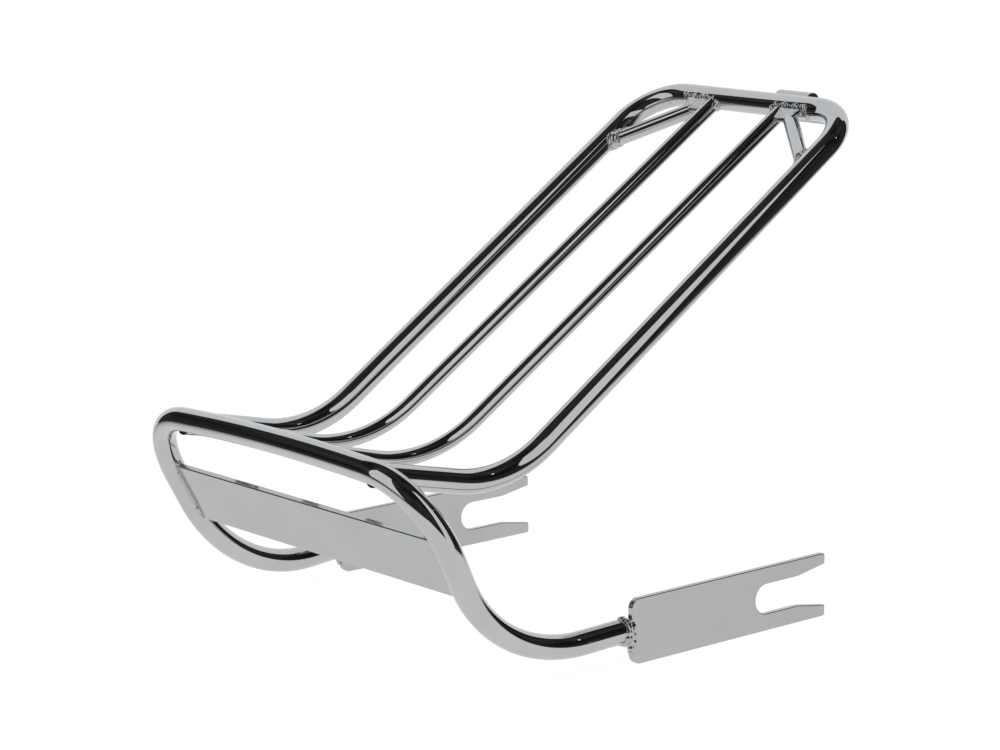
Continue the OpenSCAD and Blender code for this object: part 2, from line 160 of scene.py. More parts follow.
class Rack:
    """Points and directions that the pieces share, worked out from the sizes."""

    def __init__(self, s):
        self.s = s
        self.rod = s.frame_rod / 2
        self.thin = s.inner_rod / 2
        self.rail_x = s.deck_width / 2
        self.inner_x = s.inner_spacing / 2
        self.plate_x = s.plate_spacing / 2
        self.hoop_x = s.hoop_width / 2
        self.mid_z = s.plate_height / 2
        self.arch_half = self.hoop_x - s.hoop_bend * math.tan((math.pi / 2 + s.leg_taper) / 2)
        self.arch_turn = 2 * math.atan(s.crown / self.arch_half)
        self.arch_r = self.arch_half / math.sin(self.arch_turn)
        self.arch_end = -(self.hoop_x - self.arch_half) * math.tan(self.arch_turn)
        self.end_y = s.valley_run + s.deck_length * math.cos(s.deck_angle)
        self.end_z = s.hoop_height - s.valley_drop + s.deck_length * math.sin(s.deck_angle)
        rear = -s.crown * math.sin(s.hoop_lean) - self.rod
        front = self.end_y + s.tab_reach * math.cos(s.deck_angle) + s.tab_drop * math.sin(s.deck_angle)
        self.shift = Vector((0, -(rear + front) / 2, 0))
        self.leg_down = (s.hoop_height - s.foot_height) / math.cos(s.hoop_lean)
        foot_x = self.hoop_x - (self.leg_down + self.arch_end) * math.tan(s.leg_taper)
        self.foot = self.in_hoop(foot_x, self.leg_down)
        self.foot_end = Vector((self.plate_x - s.foot_inset, s.plate_start, self.mid_z)) + self.shift
        rail_down = s.rail_end_drop / math.cos(s.hoop_lean) - self.arch_at(self.rail_x)
        self.rail_start = self.in_hoop(self.rail_x, rail_down)
        self.valley = Vector((self.rail_x, s.valley_run, s.hoop_height - s.valley_drop)) + self.shift
        self.inner_start = self.in_hoop(self.inner_x, -self.arch_at(self.inner_x))
        self.inner_valley = Vector((self.inner_x, s.inner_run, s.hoop_height - s.inner_drop)) + self.shift

    def arch_at(self, x):
        """Height of the hoop bar's centreline above its ends, in the hoop's plane."""
        if x < self.arch_half:
            return math.sqrt(self.arch_r ** 2 - x ** 2) - self.arch_r * math.cos(self.arch_turn)
        return -(x - self.arch_half) * math.tan(self.arch_turn)

    def in_hoop(self, across, down):
        """A point of the hoop's leaning plane."""
        lean = self.s.hoop_lean
        return Vector((across, down * math.sin(lean), self.s.hoop_height - down * math.cos(lean))) + self.shift

    def on_deck(self, across, back, above):
        """A point near the deck's plane, measured from the end bar's centre."""
        a = self.s.deck_angle
        return Vector((
            across,
            self.end_y - back * math.cos(a) - above * math.sin(a),
            self.end_z - back * math.sin(a) + above * math.cos(a),
        )) + self.shift

    def leg_x(self, down):
        """Where a leg's centreline is at a distance down the hoop's plane."""
        return self.hoop_x - (down + self.arch_end) * math.tan(self.s.leg_taper)


def rack():
    """The shared points and directions, from the scene's sizes."""
    return Rack(bpy.context.scene.rack_sizes)


def mesh_object(name, mesh):
    """An object for a mesh, in the scene."""
    obj = bpy.data.objects.new(name, mesh)
    bpy.context.scene.collection.objects.link(obj)
    return obj


def settled(obj, name):
    """The object with its modifiers turned into plain mesh, under its final name."""
    bpy.context.view_layer.update()
    graph = bpy.context.evaluated_depsgraph_get()
    mesh = bpy.data.meshes.new_from_object(obj.evaluated_get(graph))
    mesh.name = name
    materials = list(mesh.materials)
    old = obj.data
    obj.modifiers.clear()
    done = mesh_object("settled", mesh)
    bpy.data.objects.remove(obj)
    if isinstance(old, bpy.types.Mesh) and not old.users:
        bpy.data.meshes.remove(old)
    done.name = name
    if not materials:
        raise RuntimeError(name + " has no material")
    return done


def handed_over(piece, slot, *nodes):
    """Puts a finished piece in place of the CAD nodes that it stands for."""
    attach(piece, "root")
    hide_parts(*nodes)


# ---- Geometry Nodes --------------------------------------------------------


def new_tree(name, inputs):
    """An empty Geometry Nodes tree with the given inputs."""
    tree = bpy.data.node_groups.new(name, "GeometryNodeTree")
    tree.interface.new_socket("Geometry", in_out="INPUT", socket_type="NodeSocketGeometry")
    for label, kind, default in inputs:
        socket = tree.interface.new_socket(label, in_out="INPUT", socket_type=kind)
        if default is not None:
            socket.default_value = default
    tree.interface.new_socket("Geometry", in_out="OUTPUT", socket_type="NodeSocketGeometry")
    return tree


def add(nodes, kind, inputs=None, **settings):
    """A new node with its settings and the values of its inputs."""
    made = nodes.new(kind)
    for key, value in settings.items():
        setattr(made, key, value)
    for key, value in (inputs or {}).items():
        made.inputs[key].default_value = value
    return made


def wire(tree, *links):
    """Links nodes, each link given as (node, output, node, input)."""
    for source, output, target, taken in links:
        tree.links.new(source.outputs[output], target.inputs[taken])


def bent_rod_tree():
    """Rod bent along a corner path: each corner is rounded by its own bend radius."""
    tree = bpy.data.node_groups.get("Bent rod")
    if tree:
        return tree
    tree = new_tree("Bent rod", [
        ("Radius", "NodeSocketFloat", 0.006),
        ("Sides", "NodeSocketInt", 48),
        ("Ring Step", "NodeSocketFloat", 0.0025),
        ("Bend Points", "NodeSocketInt", BEND_POINTS),
        ("Material", "NodeSocketMaterial", None),
    ])
    nodes = tree.nodes
    given = add(nodes, "NodeGroupInput")
    out = add(nodes, "NodeGroupOutput")
    curve = add(nodes, "GeometryNodeMeshToCurve")
    radius = add(nodes, "GeometryNodeInputNamedAttribute", {"Name": "bend_radius"}, data_type="FLOAT")
    fillet = add(nodes, "GeometryNodeFilletCurve", mode="POLY")
    rings = add(nodes, "GeometryNodeResampleCurve", mode="LENGTH")
    circle = add(nodes, "GeometryNodeCurvePrimitiveCircle", mode="RADIUS")
    tube = add(nodes, "GeometryNodeCurveToMesh", {"Fill Caps": True})
    smooth = add(nodes, "GeometryNodeSetShadeSmooth")
    real = add(nodes, "GeometryNodeRealizeInstances")
    paint = add(nodes, "GeometryNodeSetMaterial")
    wire(
        tree,
        (given, "Geometry", curve, "Mesh"),
        (curve, "Curve", fillet, "Curve"),
        (radius, "Attribute", fillet, "Radius"),
        (given, "Bend Points", fillet, "Count"),
        (fillet, "Curve", rings, "Curve"),
        (given, "Ring Step", rings, "Length"),
        (given, "Radius", circle, "Radius"),
        (given, "Sides", circle, "Resolution"),
        (rings, "Curve", tube, "Curve"),
        (circle, "Curve", tube, "Profile Curve"),
        (tube, "Mesh", smooth, "Geometry"),
        (smooth, "Geometry", real, "Geometry"),
        (real, "Geometry", paint, "Geometry"),
        (given, "Material", paint, "Material"),
        (paint, "Geometry", out, "Geometry"),
    )
    return tree


def weld_tree():
    """A puddle on each point of a bead's path, each a little different where it isn't steady."""
    tree = bpy.data.node_groups.get("Weld puddles")
    if tree:
        return tree
    tree = new_tree("Weld puddles", [
        ("Puddle Radius", "NodeSocketFloat", 0.0019),
        ("Unevenness", "NodeSocketFloat", 0.3),
        ("Seed", "NodeSocketInt", 7),
        ("Material", "NodeSocketMaterial", None),
    ])
    nodes = tree.nodes
    given = add(nodes, "NodeGroupInput")
    out = add(nodes, "NodeGroupOutput")
    ball = add(nodes, "GeometryNodeMeshIcoSphere", {"Subdivisions": 3})
    low = add(nodes, "ShaderNodeMath", {0: 1.0}, operation="SUBTRACT")
    high = add(nodes, "ShaderNodeMath", {0: 1.0}, operation="ADD")
    size = add(nodes, "FunctionNodeRandomValue", data_type="FLOAT")
    spin = add(nodes, "FunctionNodeRandomValue", {1: (math.tau,) * 3}, data_type="FLOAT_VECTOR")
    steady = add(nodes, "GeometryNodeInputNamedAttribute", {"Name": "steady"}, data_type="FLOAT")
    chosen = add(nodes, "ShaderNodeMix", {"B": 1.0}, data_type="FLOAT")
    place = add(nodes, "GeometryNodeInstanceOnPoints")
    real = add(nodes, "GeometryNodeRealizeInstances")
    paint = add(nodes, "GeometryNodeSetMaterial")
    wire(
        tree,
        (given, "Geometry", place, "Points"),
        (given, "Puddle Radius", ball, "Radius"),
        (ball, "Mesh", place, "Instance"),
        (given, "Unevenness", low, 1),
        (given, "Unevenness", high, 1),
        (low, 0, size, 2),
        (high, 0, size, 3),
        (given, "Seed", size, "Seed"),
        (given, "Seed", spin, "Seed"),
        (steady, "Attribute", chosen, "Factor"),
        (size, 1, chosen, "A"),
        (chosen, "Result", place, "Scale"),
        (spin, 0, place, "Rotation"),
        (place, "Instances", real, "Geometry"),
        (real, "Geometry", paint, "Geometry"),
        (given, "Material", paint, "Material"),
        (paint, "Geometry", out, "Geometry"),
    )
    return tree


def with_tree(obj, tree, values):
    """Adds a Geometry Nodes modifier and sets its inputs by their identifiers."""
    modifier = obj.modifiers.new(tree.name, "NODES")
    modifier.node_group = tree
    for item in tree.interface.items_tree:
        if item.item_type == "SOCKET" and item.in_out == "INPUT" and item.name in values:
            modifier[item.identifier] = values[item.name]


def bent_rod(name, corners, radii, rod_radius, material):
    """A rod through the corners, with the given radius at each inner corner."""
    s = bpy.context.scene.rack_sizes
    mesh = bpy.data.meshes.new(name + "_path")
    mesh.from_pydata([tuple(c) for c in corners], [(i, i + 1) for i in range(len(corners) - 1)], [])
    bends = mesh.attributes.new("bend_radius", "FLOAT", "POINT")
    bends.data.foreach_set("value", [0.0, *radii, 0.0])
    path = mesh_object(name + "_path", mesh)
    with_tree(path, bent_rod_tree(), {
        "Radius": rod_radius,
        "Sides": s.rod_sides,
        "Ring Step": s.ring_step,
        "Bend Points": BEND_POINTS,
        "Material": material,
    })
    return settled(path, name)


def weld_bead(name, points, grow=1.0, seed=0, steady=0):
    """A bead of puddles along the points, melted into one skin. The first steady ones don't vary in size."""
    w = bpy.context.scene.rack_welds
    mesh = bpy.data.meshes.new(name + "_path")
    mesh.from_pydata([tuple(p) for p in points], [], [])
    even = mesh.attributes.new("steady", "FLOAT", "POINT")
    even.data.foreach_set("value", [1.0 if i < steady else 0.0 for i in range(len(points))])
    path = mesh_object(name + "_path", mesh)
    with_tree(path, weld_tree(), {
        "Puddle Radius": w.blob * grow,
        "Unevenness": w.uneven,
        "Seed": w.seed + seed,
        "Material": weld_material(),
    })
    melt = path.modifiers.new("Melt", "REMESH")
    melt.mode = "VOXEL"
    melt.voxel_size = w.grain
    melt.use_smooth_shade = True
    relax = path.modifiers.new("Relax", "SMOOTH")
    relax.factor = 0.5
    relax.iterations = 3
    bead = settled(path, name)
    bead.data.materials.clear()
    bead.data.materials.append(weld_material())
    for face in bead.data.polygons:
        face.use_smooth = True
    return bead


# ---- Materials -------------------------------------------------------------


def noise(nodes, link, where, scale, detail=3.0, stretch=None):
    """Fine noise on Object coordinates, scaled by a different factor along each axis if stretch is given."""
    made = add(nodes, "ShaderNodeTexNoise", {"Scale": scale, "Detail": detail})
    spot = where.outputs["Object"]
    if stretch:
        turn = add(nodes, "ShaderNodeMapping", {"Scale": stretch})
        link(spot, turn.inputs["Vector"])
        spot = turn.outputs["Vector"]
    link(spot, made.inputs["Vector"])
    return made.outputs["Fac"]


def ramp(nodes, link, source, low, high, a, b):
    """Maps a 0 to 1 pattern between two colours."""
    made = nodes.new("ShaderNodeValToRGB")
    made.color_ramp.elements[0].position = low
    made.color_ramp.elements[0].color = (*a, 1)
    made.color_ramp.elements[1].position = high
    made.color_ramp.elements[1].color = (*b, 1)
    link(source, made.inputs["Fac"])
    return made.outputs["Color"]


def spread(nodes, link, source, low, high, a, b):
    """Maps a pattern between two numbers."""
    made = add(nodes, "ShaderNodeMapRange", {"From Min": low, "From Max": high, "To Min": a, "To Max": b})
    link(source, made.inputs["Value"])
    return made.outputs["Result"]


def bump(nodes, link, height, shader, depth, under=None):
    """Relief on the shader, on top of the relief under it if there is one."""
    made = add(nodes, "ShaderNodeBump", {"Strength": 1.0, "Distance": depth})
    link(height, made.inputs["Height"])
    if under:
        link(under.outputs["Normal"], made.inputs["Normal"])
    link(made.outputs["Normal"], shader.inputs["Normal"])
    return made


def shaded(colour, factor):
    """A colour made darker or brighter."""
    return tuple(min(1.0, c * factor) for c in colour)


# The patterns of each finish. cloud, haze, wave and grit give a noise's scale, detail and stretch. tone is the
# part of the cloud that changes the colour, and the factors it reaches. rough is the same for the haze and the
# roughness. The depths of the wave and of the grit are in metres. Without a grit the haze is used.
LOOKS = {
    "Chromed rod": {
        "cloud": (38,), "tone": (0.3, 0.7, 0.96, 1.04),
        "haze": (140, 5), "rough": (0.35, 0.75, 0.6, 2.0),
        "wave": (95, 1), "wave_depth": 0.000018,
        "grit": (1400, 2), "grit_depth": 0.0000004,
    },
    "Chromed flat bar": {
        "cloud": (24,), "tone": (0.3, 0.7, 0.97, 1.03),
        "haze": (260, 4, (1.0, 0.05, 1.0)), "rough": (0.3, 0.7, 0.75, 1.35),
        "wave": (30, 1), "wave_depth": 0.00004,
        "grit_depth": 0.0000012,
    },
    "Chromed weld bead": {
        "cloud": (300,), "tone": (0.25, 0.7, 0.82, 1.06),
        "haze": (900, 4), "rough": (0.3, 0.75, 0.6, 3.0),
        "wave": (520, 2), "wave_depth": 0.00035,
        "grit_depth": 0.00005,
    },
}


def chromed(name, colour, polish):
    """A chrome finish with the patterns that LOOKS gives it."""
    material = bpy.data.materials.get(name)
    if material:
        return material
    look = LOOKS[name]
    material = bpy.data.materials.new(name)
    material.use_nodes = True
    nodes, link = material.node_tree.nodes, material.node_tree.links.new
    shader = nodes["Principled BSDF"]
    shader.inputs["Metallic"].default_value = 1.0
    shader.inputs["Base Color"].default_value = (*colour, 1)
    shader.inputs["Roughness"].default_value = polish
    where = nodes.new("ShaderNodeTexCoord")
    cloud = noise(nodes, link, where, *look["cloud"])
    low, high, dull, bright = look["tone"]
    link(ramp(nodes, link, cloud, low, high, shaded(colour, dull), shaded(colour, bright)),
         shader.inputs["Base Color"])
    haze = noise(nodes, link, where, *look["haze"])
    low, high, least, most = look["rough"]
    link(spread(nodes, link, haze, low, high, polish * least, polish * most), shader.inputs["Roughness"])
    wave = bump(nodes, link, noise(nodes, link, where, *look["wave"]), shader, look["wave_depth"])
    grit = noise(nodes, link, where, *look["grit"]) if "grit" in look else haze
    bump(nodes, link, grit, shader, look["grit_depth"], wave)
    return material


def rod_material():
    """Bright chrome on drawn rod: near mirror, with a faint haze and a faint ripple."""
    f = bpy.context.scene.rack_finish
    return chromed("Chromed rod", f.chrome, f.polish)


def flat_material():
    """Chrome over rolled flat bar: softer mirror, fine lines left by the rolling and polishing."""
    f = bpy.context.scene.rack_finish
    return chromed("Chromed flat bar", f.flat_chrome, f.flat_polish)


def weld_material():
    """Chrome over weld metal: bright lumps with duller, rougher hollows."""
    f = bpy.context.scene.rack_finish
    return chromed("Chromed weld bead", f.weld_chrome, f.weld_polish)


# ---- Flat pieces -----------------------------------------------------------


EDGE_FACES = 3  # faces across a rounded edge
EDGE_FROM = math.radians(50)  # edges sharper than this are rounded
EVEN_WEIGHT = 80  # how far large faces lead the shading of the rounded edges
CROSS_PLATE_EDGE = 1.5  # edge rounding against the side plates'
TAB_EDGE = 0.7  # the same for the tab
TAB_ROOT = 0.7  # the tab starts inside the end bar, at this share of its radius

def arc(x, y, r, start, end, steps=12):
    """Points on an arc, angles in degrees."""
    return [
        (x + r * math.cos(math.radians(start + (end - start) * i / steps)),
         y + r * math.sin(math.radians(start + (end - start) * i / steps)))
        for i in range(steps + 1)
    ]


def flat_bar(name, outline, thick, to_rack, edge, material, cutters=()):
    """A flat bar cut to an outline, with its edges rounded. to_rack maps (u, v, w) to the rack."""
    shape = bmesh.new()
    low = [shape.verts.new(to_rack(u, v, -thick / 2)) for u, v in outline]
    high = [shape.verts.new(to_rack(u, v, thick / 2)) for u, v in outline]
    shape.faces.new(low[::-1])
    shape.faces.new(high)
    count = len(outline)
    for i in range(count):
        j = (i + 1) % count
        shape.faces.new((low[i], low[j], high[j], high[i]))
    bmesh.ops.recalc_face_normals(shape, faces=shape.faces)
    mesh = bpy.data.meshes.new(name)
    shape.to_mesh(mesh)
    shape.free()
    obj = mesh_object(name + "_blank", mesh)
    obj.data.materials.append(material)
    for cutter in cutters:
        cut = obj.modifiers.new("Cut", "BOOLEAN")
        cut.operation = "DIFFERENCE"
        cut.solver = "EXACT"
        cut.object = cutter
    rounding = obj.modifiers.new("Rounded edges", "BEVEL")
    rounding.width = edge
    rounding.segments = EDGE_FACES
    rounding.limit_method = "ANGLE"
    rounding.angle_limit = EDGE_FROM
    rounding.harden_normals = False
    normals = obj.modifiers.new("Even normals", "WEIGHTED_NORMAL")
    normals.weight = EVEN_WEIGHT
    normals.keep_sharp = False
    for face in obj.data.polygons:
        face.use_smooth = True
    done = settled(obj, name)
    for cutter in cutters:
        bpy.data.objects.remove(cutter)
    return done


def plate_outline(s):
    """Outline of a side plate from its rear lower corner: along the plate, and up."""
    long, high, mid = s.plate_length, s.plate_height, s.plate_height / 2
    slot, mouth = s.slot_width / 2, s.mouth_width / 2
    centre = long - s.slot_depth + slot
    return [
        *arc(s.plate_rear, s.plate_rear, s.plate_rear, 180, 270),
        *arc(long - s.plate_tip, s.plate_tip, s.plate_tip, 270, 360, 6),
        (long, mid - mouth),
        (long - s.mouth_length, mid - slot),
        *arc(centre, mid, slot, 270, 90, 36),
        (long - s.mouth_length, mid + slot),
        (long, mid + mouth),
        *arc(long - s.plate_tip, high - s.plate_tip, s.plate_tip, 0, 90, 6),
        *arc(s.plate_rear, high - s.plate_rear, s.plate_rear, 90, 180),
    ]


# ---- Weld paths ------------------------------------------------------------

# Where the puddles lie. Each pitch is a share of the puddle pitch.
HOOP_PITCH = 0.7
RAIL_SINK, INNER_SINK = 0.4 * MM, 0.2 * MM  # how far they are sunk in the rails' skins
RAIL_LOW = 0.5 * MM  # the lowest ones on the outer rails, below the rails' centres
BRACE_PITCH = 0.8
BRACE_RINGS = ((0, 0.2 * MM), (2.4 * MM, 0.5 * MM), (4.6 * MM, 0.5 * MM))  # along the brace, and sunk
# The front web's rows on the end bar: angles above the deck's plane, distance from its centre, ends past the rail
WEB_PITCH = 0.5
WEB_LIFTS = (-8, 6, 20, 34)
WEB_OUT, WEB_LEFT, WEB_RIGHT = 4.9 * MM, 1.5 * MM, 18 * MM
# Its rows behind the end bar, in millimetres: first row, height and its fall, width and its narrowing, left end
BACK_ROWS, BACK_FROM = 7, 6
BACK_ABOVE, BACK_FALL, BACK_WIDE, BACK_NARROW, BACK_IN = 1.9, 0.1, 9, 1.5, 0.2
# Its rippled edge, and the lumps beside it, from (across, back, above) to the same in millimetres
RIPPLE_PITCH, RIPPLE_LIFT = 1.25, 47
RIPPLE_OUT, RIPPLE_LEFT, RIPPLE_RIGHT = 5.0 * MM, 2 * MM, 19 * MM
FRONT_LUMPS = (
    ((-4.4, 5.0, 2.2), (-4.4, 5.2, -1.6)),
    ((19, 5.0, 2.2), (19, 5.2, -1.6)),
    ((-3.6, 7, 1), (-3.4, 6.4, -2)),
)
# The cross plate's bead, fillet and tack
STRIP_INSET, STRIP_LIFT = 0.3 * MM, 0.2 * MM
FILLET_PITCH, FILLET_LIFT, FILLET_OUT, FILLET_STOP = 0.3, 0.6, 0.5 * MM, 3 * MM
TACK_PITCH, TACK_IN, TACK_UP, TACK_BEHIND = 0.7, 2.4 * MM, 2.6 * MM, 0.4 * MM
# Rings round a foot: back along the foot, and turned. Runs at the plate's rear end: ahead, up and down.
FOOT_RINGS = ((0.6 * MM, 0.0), (2.2 * MM, 0.13))
FOOT_RUNS = ((-0.4 * MM, 6.0 * MM, 11.0 * MM), (0.9 * MM, 4.6 * MM, 5.0 * MM))
FOOT_SPOKES, FOOT_INWARD, FOOT_SINK, FOOT_BURIED = 24, -0.2, 0.1 * MM, 0.7 * MM
TAB_OFF, TAB_OUT = 0.3 * MM, 0.1 * MM  # off the tab's faces, and out of the end bar's skin


def across(direction):
    """Two directions square to a rod."""
    helper = Vector((0, 0, 1)) if abs(direction.z) < 0.9 else EAST
    side = direction.cross(helper).normalized()
    return side, direction.cross(side).normalized()


def ring_around(start, way, radius, other, other_way, other_radius, pitch, out):
    """Where a rod meets the skin of another rod, as points spaced along the joint."""
    way, other_way = way.normalized(), other_way.normalized()
    e1, e2 = across(way)
    steps = max(8, int(math.tau * radius / pitch))
    points = []
    for i in range(steps):
        a = math.tau * i / steps
        spoke = e1 * math.cos(a) + e2 * math.sin(a)
        p = start + spoke * radius
        q = (p - other) - other_way * (p - other).dot(other_way)
        u = way - other_way * way.dot(other_way)
        b, c, d = q.dot(u), q.dot(q) - other_radius ** 2, u.dot(u)
        root = b * b - c * d
        t = (-b + math.sqrt(root)) / d if root > 0 else -b / d
        points.append(p + way * max(t, 0.0) + spoke * out)
    return points


def run(a, b, pitch):
    """Points from a to b, one pitch apart."""
    steps = max(1, round((b - a).length / pitch))
    return [a.lerp(b, i / steps) for i in range(steps + 1)]


def mirrored(points):
    """The same points on the left side."""
    return [FLIP @ p for p in points]


def rail_hoop_path(r, s, w):
    """Over the upper part of an outer rail's end on the hoop bar. The rest would show under the bar."""
    bar = r.in_hoop(r.rail_x, -r.arch_at(r.rail_x))
    ring = ring_around(r.rail_start, r.valley - r.rail_start, r.rod, bar, EAST, r.rod,
                       w.pitch * HOOP_PITCH, -RAIL_SINK)
    return [p for p in ring if p.z > r.rail_start.z - RAIL_LOW], 0


def inner_hoop_path(r, s, w):
    """Round an inner rail's end on the hoop bar."""
    start = r.inner_start
    return ring_around(start, r.inner_valley - start, r.thin, start, EAST, r.rod,
                       w.pitch * HOOP_PITCH, -INNER_SINK), 0


def brace_rail_path(r, s, w):
    """Round a brace's end on an outer rail, with two ripples further along the brace."""
    start = r.on_deck(r.rail_x, s.brace_run, -s.brace_drop)
    inward = r.on_deck(r.inner_x, 0, -s.brace_drop) - start
    rail, rail_way = r.on_deck(r.rail_x, 0, 0), r.on_deck(0, 1, 0) - r.on_deck(0, 0, 0)
    points = []
    for along, sink in BRACE_RINGS:
        ring = ring_around(start, inward, r.thin, rail, rail_way, r.rod, w.pitch * BRACE_PITCH, -sink)
        points += [p + inward.normalized() * along for p in ring]
    return points, 0


def front_path(r, s, w):
    """A smooth web between an inner rail and a brace at the end bar, then its rippled edge and side lumps."""
    slope = (r.rail_x - r.inner_x) / s.brace_run

    def web_row(left, right, back, above, pitch):
        return run(r.on_deck(r.inner_x + left, back, above), r.on_deck(r.inner_x + right, back, above), pitch)

    def round_bar(out, lift):
        return out * math.cos(math.radians(lift)), out * math.sin(math.radians(lift))

    points = []
    for lift in WEB_LIFTS:
        points += web_row(-WEB_LEFT, WEB_RIGHT, *round_bar(WEB_OUT, lift), w.pitch * WEB_PITCH)
    for step in range(BACK_ROWS):
        back = (BACK_FROM + step) * MM
        above = (BACK_ABOVE - BACK_FALL * step) * MM
        right = back * slope + (BACK_WIDE - BACK_NARROW * step) * MM
        points += web_row(BACK_IN * step * MM, right, back, above, w.pitch * WEB_PITCH)
    smooth = len(points)
    points += web_row(-RIPPLE_LEFT, RIPPLE_RIGHT, *round_bar(RIPPLE_OUT, RIPPLE_LIFT), w.pitch * RIPPLE_PITCH)
    for ends in FRONT_LUMPS:
        a, b = (r.on_deck(r.inner_x + x * MM, back * MM, above * MM) for x, back, above in ends)
        points += run(a, b, w.pitch)
    return points, smooth


def cross_plate_path(r, s, w):
    """Down the plate's end on one face, a fine fillet on the other, and a tack over its top edge."""
    face = Vector((0, math.cos(s.hoop_lean), math.sin(s.hoop_lean)))
    top, low = s.strip_top, s.strip_top + s.strip_width
    inset = r.rod + STRIP_INSET
    lift = face * (s.strip_thick / 2 + STRIP_LIFT)
    points = run(r.in_hoop(r.leg_x(top) - inset, top) + lift, r.in_hoop(r.leg_x(low) - inset, low) + lift,
                 w.pitch)
    points += run(r.in_hoop(r.leg_x(top) - r.rod + FILLET_OUT, top) - lift * FILLET_LIFT,
                  r.in_hoop(r.leg_x(low) - r.rod + FILLET_OUT, low - FILLET_STOP) - lift * FILLET_LIFT,
                  w.pitch * FILLET_PITCH)
    points += run(r.in_hoop(r.leg_x(top) - inset - TACK_IN, top) - face * TACK_BEHIND,
                  r.in_hoop(r.leg_x(top) - inset, top - TACK_UP) - face * TACK_BEHIND, w.pitch * TACK_PITCH)
    return points, 0


def side_plate_path(r, s, w):
    """Round a foot's end on its outer side, and up the side plate's rear end."""
    outer = Vector((r.plate_x + s.plate_thick / 2, r.foot_end.y, r.foot_end.z))
    foot_way = (r.foot_end - r.foot).normalized()
    points = []
    for back, phase in FOOT_RINGS:
        for i in range(FOOT_SPOKES):
            a = math.tau * i / FOOT_SPOKES + phase
            spoke = Vector((math.cos(a), 0, math.sin(a)))
            if spoke.x > FOOT_INWARD:
                points.append(r.foot_end - foot_way * back + spoke * (r.rod - FOOT_SINK))
    for ahead, up, down in FOOT_RUNS:
        centre = outer + Vector((-FOOT_BURIED, ahead, 0))
        points += run(centre - Vector((0, 0, down)), centre + Vector((0, 0, up)), w.pitch)
    return points, 0


def tab_path(r, s, w):
    """Along the tab on the end bar, above it and below it."""
    half = s.tab_width / 2 - w.blob
    points = []
    for above in (TAB_OFF, -s.tab_thick - TAB_OFF):
        back = -math.sqrt(max(r.rod ** 2 - above ** 2, 0.0)) - TAB_OUT
        points += run(r.on_deck(s.tab_x - half, back, above), r.on_deck(s.tab_x + half, back, above), w.pitch)
    return points


# Each pair of beads: its name, its puddles' size against the puddle radius, its path. Their order sets the seeds.
BEADS = (
    ("weld_rail_hoop", 0.62, rail_hoop_path),
    ("weld_inner_hoop", 0.6, inner_hoop_path),
    ("weld_brace_rail", 0.72, brace_rail_path),
    ("weld_front", 0.85, front_path),
    ("weld_cross_plate", 0.62, cross_plate_path),
    ("weld_side_plate", 0.8, side_plate_path),
)
TAB_GROW, TAB_SEED = 0.8, 31


# ---- Operators -------------------------------------------------------------


class RACK_OT_rear_hoop(bpy.types.Operator):
    """Build the rear hoop: arched bar, two legs and two feet in one bent rod"""

    bl_idname = "rack.rear_hoop"
    bl_label = "Rear hoop"

    def execute(self, context):
        r, s = rack(), context.scene.rack_sizes
        corner = r.in_hoop(r.hoop_x, -r.arch_end)
        peak = r.in_hoop(0, -r.arch_half * math.tan(r.arch_turn))
        path = [FLIP @ r.foot_end, FLIP @ r.foot, FLIP @ corner, peak, corner, r.foot, r.foot_end]
        radii = [s.foot_bend, s.hoop_bend, r.arch_r, s.hoop_bend, s.foot_bend]
        handed_over(bent_rod("Rear_hoop", path, radii, r.rod, rod_material()), "chrome_rod", "rear_hoop")
        return {"FINISHED"}


class RACK_OT_deck_frame(bpy.types.Operator):
    """Build the deck's outer frame: two rails and the end bar in one bent rod"""

    bl_idname = "rack.deck_frame"
    bl_label = "Deck frame"

    def execute(self, context):
        r, s = rack(), context.scene.rack_sizes
        corner = r.on_deck(r.rail_x, 0, 0)
        path = [FLIP @ r.rail_start, FLIP @ r.valley, FLIP @ corner, corner, r.valley, r.rail_start]
        radii = [s.valley_bend, s.front_bend, s.front_bend, s.valley_bend]
        handed_over(bent_rod("Deck_frame", path, radii, r.rod, rod_material()), "chrome_rod", "deck_frame")
        return {"FINISHED"}


class RACK_OT_inner_rails(bpy.types.Operator):
    """Build the two inner rails of the deck"""

    bl_idname = "rack.inner_rails"
    bl_label = "Inner rails"

    def execute(self, context):
        r, s = rack(), context.scene.rack_sizes
        path = [r.inner_start, r.inner_valley, r.on_deck(r.inner_x, 0, 0)]
        for side, points in (("left", mirrored(path)), ("right", path)):
            rod = bent_rod("Inner_rail_" + side, points, [s.inner_bend], r.thin, rod_material())
            handed_over(rod, "chrome_rod", "inner_rail_" + side)
        return {"FINISHED"}


class RACK_OT_braces(bpy.types.Operator):
    """Build the two corner braces at the front of the deck"""

    bl_idname = "rack.braces"
    bl_label = "Corner braces"

    def execute(self, context):
        r, s = rack(), context.scene.rack_sizes
        path = [r.on_deck(r.inner_x, 0, -s.brace_drop), r.on_deck(r.rail_x, s.brace_run, -s.brace_drop)]
        for side, points in (("left", mirrored(path)), ("right", path)):
            rod = bent_rod("Brace_" + side, points, [], r.thin, rod_material())
            handed_over(rod, "chrome_rod", "brace_" + side)
        return {"FINISHED"}


class RACK_OT_side_plates(bpy.types.Operator):
    """Build the two slotted side plates at the hoop's feet"""

    bl_idname = "rack.side_plates"
    bl_label = "Side plates"

    def execute(self, context):
        r, s = rack(), context.scene.rack_sizes
        for side, sign in (("left", -1), ("right", 1)):
            def to_rack(u, v, w, sign=sign):
                return Vector((sign * r.plate_x + w, s.plate_start + u, v)) + r.shift
            plate = flat_bar("Side_plate_" + side, plate_outline(s), s.plate_thick, to_rack, s.edge_round,
                             flat_material())
            handed_over(plate, "chrome_flat", "side_plate_" + side)
        return {"FINISHED"}


